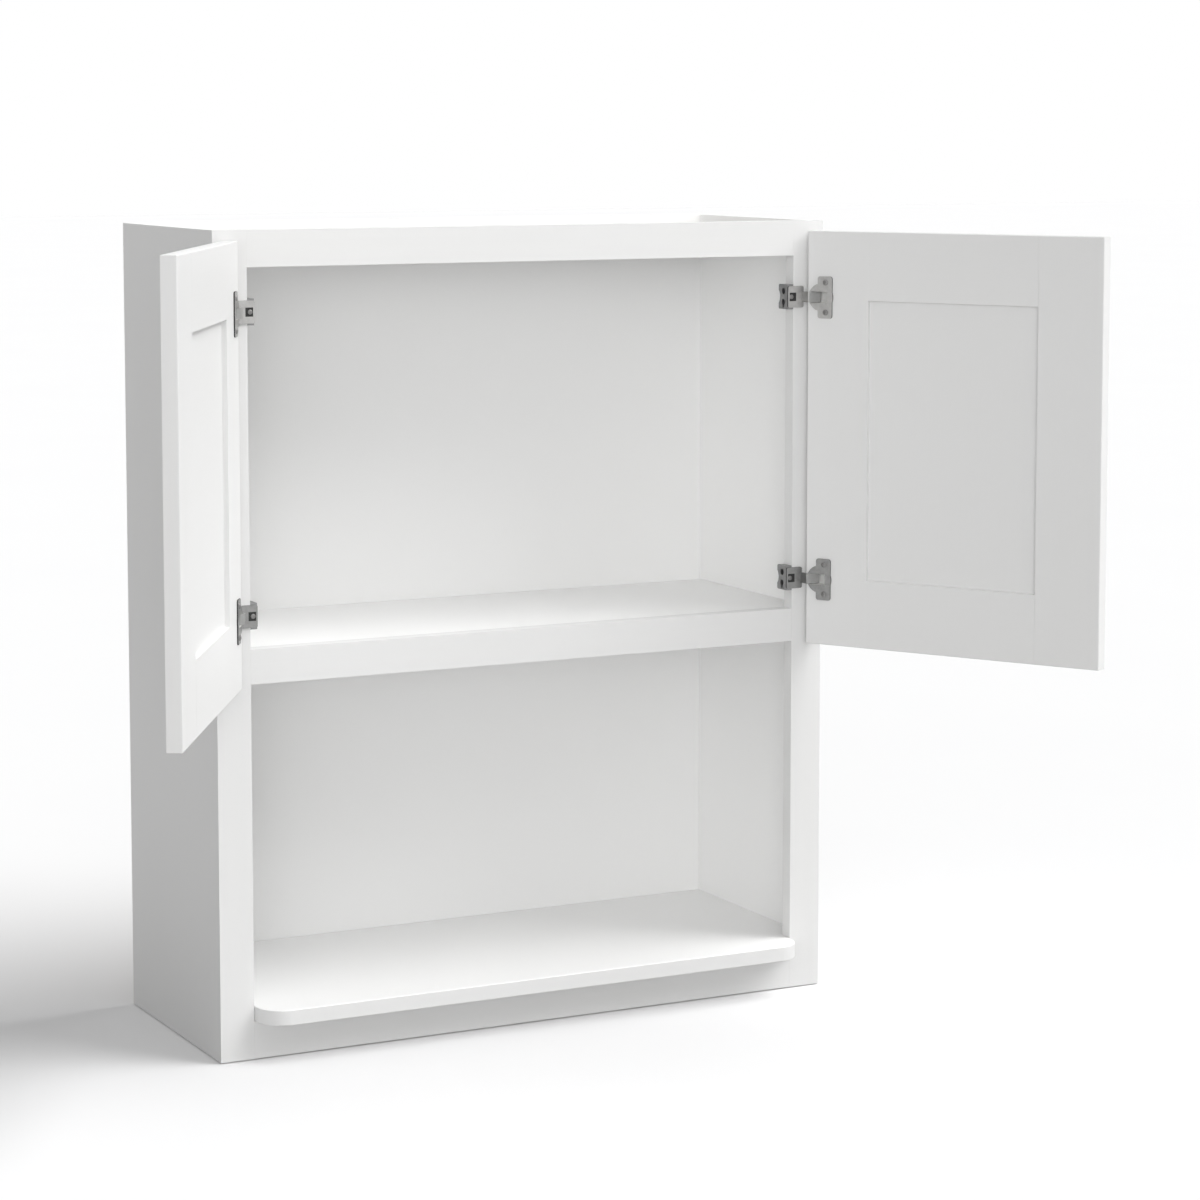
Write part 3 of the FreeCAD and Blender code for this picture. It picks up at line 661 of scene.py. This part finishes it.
def measured(spots, aim):
    # A turned solid's seat and sizes, read along its axis
    across = aim.orthogonal().normalized()
    other = aim.cross(across)
    ranges = [sorted(spot.dot(way) for spot in spots) for way in (across, other, aim)]
    middle = [(row[0] + row[-1]) / 2 for row in ranges]
    axis = across * middle[0] + other * middle[1]
    outer = [((spot - axis - aim * spot.dot(aim)).length, spot.dot(aim)) for spot in spots]
    radius = max(outer)[0]
    bottom, top = ranges[2][0], ranges[2][-1]
    seat = min(level for reach, level in outer if reach > gauge["rim"] * radius)
    neck = seat - gauge["neck"] * (seat - bottom)
    shank = max((reach for reach, level in outer if level < neck), default=radius)
    return {"seat": axis + aim * seat, "middle": axis + aim * middle[2], "radius": radius, "shank": shank,
            "head": top - seat, "length": seat - bottom, "whole": top - bottom}


def setPoints(name, rows, tree, values, slot, body, stoodFor):
    # Points with an aim and a chance spin of their own, dressed by a tree and made a plain mesh
    mesh = bpy.data.meshes.new(name)
    mesh.from_pydata([spot for spot, aim in rows], [], [])
    for label, kind in pointLayers.items():
        mesh.attributes.new(label, kind, "POINT")
    for index, (spot, aim) in enumerate(rows):
        mesh.attributes["aim"].data[index].vector = aim
        mesh.attributes["spin"].data[index].value = chance.uniform(0.0, math.pi)
    holder = bpy.data.objects.new(name + "_points", mesh)
    scene.collection.objects.link(holder)
    modifier = holder.modifiers.new("turned", "NODES")
    modifier.node_group = tree
    sockets = {item.name: item.identifier for item in tree.interface.items_tree if item.in_out == "INPUT"}
    for label, value in values.items():
        modifier[sockets[label]] = value
    finished = evaluated(holder)
    finished.shade_smooth()
    finished.set_sharp_from_angle(angle=easing["sharp"])
    addPiece(name, finished, body, slot, *stoodFor)


chance = random.Random(screw["spinSeed"])
inward = {"left": Vector((1, 0, 0)), "right": Vector((-1, 0, 0))}
screwSets = {
    "base_screws": [(name + "_base_screws", inward[side]) for side, name in hinges],
    "adjusting_screws": [(name + "_adjuster", Vector((0, -1, 0))) for side, name in hinges],
    "shelf_screws": [(row + "_shelf_screws", Vector((0, 0, -1))) for row in ("front", "rear")],
}
for side in openDoor:
    doorIn = (hingeFrame(side, openDoor[side]).to_3x3() @ Vector((0, 1, 0))).normalized()
    ownHinges = [name for where, name in hinges if where == side]
    screwSets[side + "_cup_screws"] = [(name + "_cup_screws", doorIn) for name in ownHinges]

turnedScrew = screwTree()
for name, group in screwSets.items():
    sizes = [(measured(spots, aim), aim) for node, aim in group for spots in solidsOf(node)]
    first = sizes[0][0]
    values = {
        "Head Radius": first["radius"], "Head Height": first["head"], "Shank Radius": first["shank"],
        "Length": first["length"], "Point": screw["point"], "Pitch": screw["pitch"], "Root": screw["root"],
        "Slot Span": screw["slotSpan"], "Slot Width": screw["slotWidth"], "Slot Depth": screw["slotDepth"],
        # the hinge bases' screws wear the near-black: painted shade in their holes
        "Finish": finishes["shearedEdgeAndShade" if name == "base_screws" else "zinc"],
    }
    spots = [(size["seat"], aim) for size, aim in sizes]
    replaced = [node for node, aim in group]
    setPoints(name + "_turned", spots, turnedScrew, values, "screw_steel", bodyOf[replaced[0]], replaced)
print("screws turned:", ", ".join(screwSets))

dowel = {"flutes": 16, "columnsPerFlute": 4, "fluteDepth": 0.05, "chamfer": 0.0012}


def dowelTree():
    wire = newTree("flutedDowel", ("Radius", "Length", "Chamfer", "Flute Depth"))
    radius, half, chamfer = given(wire, "Radius"), given(wire, "Length") * 0.5, given(wire, "Chamfer")
    radii = [0.0, radius - chamfer, radius, radius, radius - chamfer, 0.0]
    levels = [half, half, half - chamfer, chamfer - half, half * -1, half * -1]

    def peg(row, angle):
        wave = wire.maths("PINGPONG", angle * (dowel["flutes"] * 0.5 / math.pi), 0.5) * 2
        fluted = 1 - given(wire, "Flute Depth") * wave
        return chosen(wire, row, radii) * fluted, chosen(wire, row, levels)

    columns = dowel["flutes"] * dowel["columnsPerFlute"]
    return setOut(wire, welded(wire, lathe(wire, len(radii), columns, peg)))


along = Vector((1, 0, 0))
pegs = [measured(spots, along) for spots in solidsOf("frame_dowels")]
setPoints(
    "frame_dowels_fluted", [(peg["middle"], along) for peg in pegs], dowelTree(),
    {"Radius": pegs[0]["radius"], "Length": pegs[0]["whole"], "Chamfer": dowel["chamfer"],
     "Flute Depth": dowel["fluteDepth"], "Finish": finishes["beech"]},
    "beech", bodyOf["frame_dowels"], ["frame_dowels"])
print("dowels fluted")

studio = {
    "floorSize": 60.0, "floorDrop": 0.0012, "floorGlow": 0.08, "paperScale": 1.5,
    "floorColour": (0.82, 0.82, 0.82), "floorShade": (0.805, 0.805, 0.81), "floorBounce": (0.33, 0.33, 0.33),
    "sunFrom": (0.63, -0.28, 0.71), "sunLevel": 3.2, "sunAngle": math.radians(50.0),
}
softboxes = {                       # turn runs from straight ahead to the right, rise up from the floor
    "front": {"gain": 10.6, "tight": 50.0, "turn": math.radians(-23.0), "rise": math.radians(2.0)},
    "middle": {"gain": 1.3, "tight": 30.0, "turn": math.radians(6.0), "rise": math.radians(2.0)},
    "high": {"gain": 1.25, "tight": 10.0, "turn": 0.0, "rise": math.radians(55.0)},
    "left": {"gain": 1.5, "tight": 10.0, "turn": math.radians(-50.0), "rise": math.radians(14.0)},
    "side": {"gain": 0.46, "tight": 10.0, "turn": math.radians(-110.0), "rise": math.radians(28.0)},
    "right": {"gain": 0.7, "tight": 30.0, "turn": math.radians(55.0), "rise": math.radians(3.0)},
    "rear": {"gain": 0.6, "tight": 6.0, "turn": math.radians(165.0), "rise": math.radians(30.0)},
}


def whereSeen(wire):
    # 1 for what the camera sees, straight or in metal or glass
    straight, glossy, through = [
        wire.add("ShaderNodeLightPath", output=f"Is {kind} Ray")
        for kind in ("Camera", "Glossy", "Transmission")]
    return wire.maths("MAXIMUM", wire.maths("MAXIMUM", straight, glossy), through)


def paleFloor():
    mesh = bpy.data.meshes.new("floor")
    half = studio["floorSize"] / 2
    corners = [(-half, -half, 0), (half, -half, 0), (half, half, 0), (-half, half, 0)]
    mesh.from_pydata(corners, [], [range(len(corners))])
    floor = bpy.data.objects.new("floor", mesh)
    scene.collection.objects.link(floor)
    floor.location.z = cadBox[0].z - studio["floorDrop"]      # leaves a thin dark line under the cabinet
    material, wire, place = newMaterial("floorPaper")
    seen = whereSeen(wire)
    paper = noise(wire, place, studio["paperScale"]).tint(studio["floorColour"], studio["floorShade"])
    colour = seen.blend((*studio["floorBounce"], 1.0), paper)
    diffuse = wire.add("ShaderNodeBsdfDiffuse", sockets={"Color": colour})
    glow = wire.add("ShaderNodeEmission", sockets={"Strength": seen * studio["floorGlow"]})
    closeMaterial(wire, wire.add("ShaderNodeAddShader", sockets={0: diffuse, 1: glow}))
    mesh.materials.append(material)


def whiteWorld():
    # Soft boxes all round, the strongest on the camera's side, against a white background
    world = bpy.data.worlds.new("studio")
    world.use_nodes = True
    world.node_tree.nodes.clear()
    wire = Wire(world.node_tree)
    way = wire.add("ShaderNodeTexCoord", output="Generated")

    light = 0.0
    for box in softboxes.values():
        flat = math.cos(box["rise"])
        aim = (math.sin(box["turn"]) * flat, -math.cos(box["turn"]) * flat, math.sin(box["rise"]))
        facing = wire.add(
            "ShaderNodeVectorMath", {"operation": "DOT_PRODUCT"}, {0: way, 1: aim}, output="Value")
        light = light + wire.maths("POWER", wire.maths("MAXIMUM", facing, 0.0), box["tight"]) * box["gain"]
    seen = whereSeen(wire)
    level = seen + (1 - seen) * light
    sky = wire.add("ShaderNodeBackground", sockets={"Color": (1.0, 1.0, 1.0, 1.0), "Strength": level})
    wire.add("ShaderNodeOutputWorld", sockets={"Surface": sky})
    scene.world = world


def softSun():
    lamp = bpy.data.lights.new("keySun", "SUN")
    lamp.energy = studio["sunLevel"]
    lamp.angle = studio["sunAngle"]
    holder = bpy.data.objects.new("keySun", lamp)
    holder.rotation_euler = Vector(studio["sunFrom"]).to_track_quat("Z", "Y").to_euler()
    scene.collection.objects.link(holder)


paleFloor()
whiteWorld()
softSun()
print("studio lit")

camera = {
    "lens": 102.028, "sensor": 36.0, "shiftY": -0.12, "spot": (-1.67895, -3.72735, 1.03754),
    "yaw": math.radians(27.1718), "pitch": math.radians(-5.7264),
}


def photoCamera():
    lens = bpy.data.cameras.new("camera")
    lens.sensor_fit = "HORIZONTAL"
    lens.sensor_width = camera["sensor"]
    lens.lens = camera["lens"]
    lens.shift_y = camera["shiftY"]
    holder = bpy.data.objects.new("camera", lens)
    flat = math.cos(camera["pitch"])
    look = Vector((math.sin(camera["yaw"]) * flat, math.cos(camera["yaw"]) * flat, math.sin(camera["pitch"])))
    holder.location = camera["spot"]
    holder.rotation_euler = look.to_track_quat("-Z", "Y").to_euler()
    scene.collection.objects.link(holder)
    scene.camera = holder


photoCamera()
scene.view_settings.view_transform = "Standard"
print("camera set")
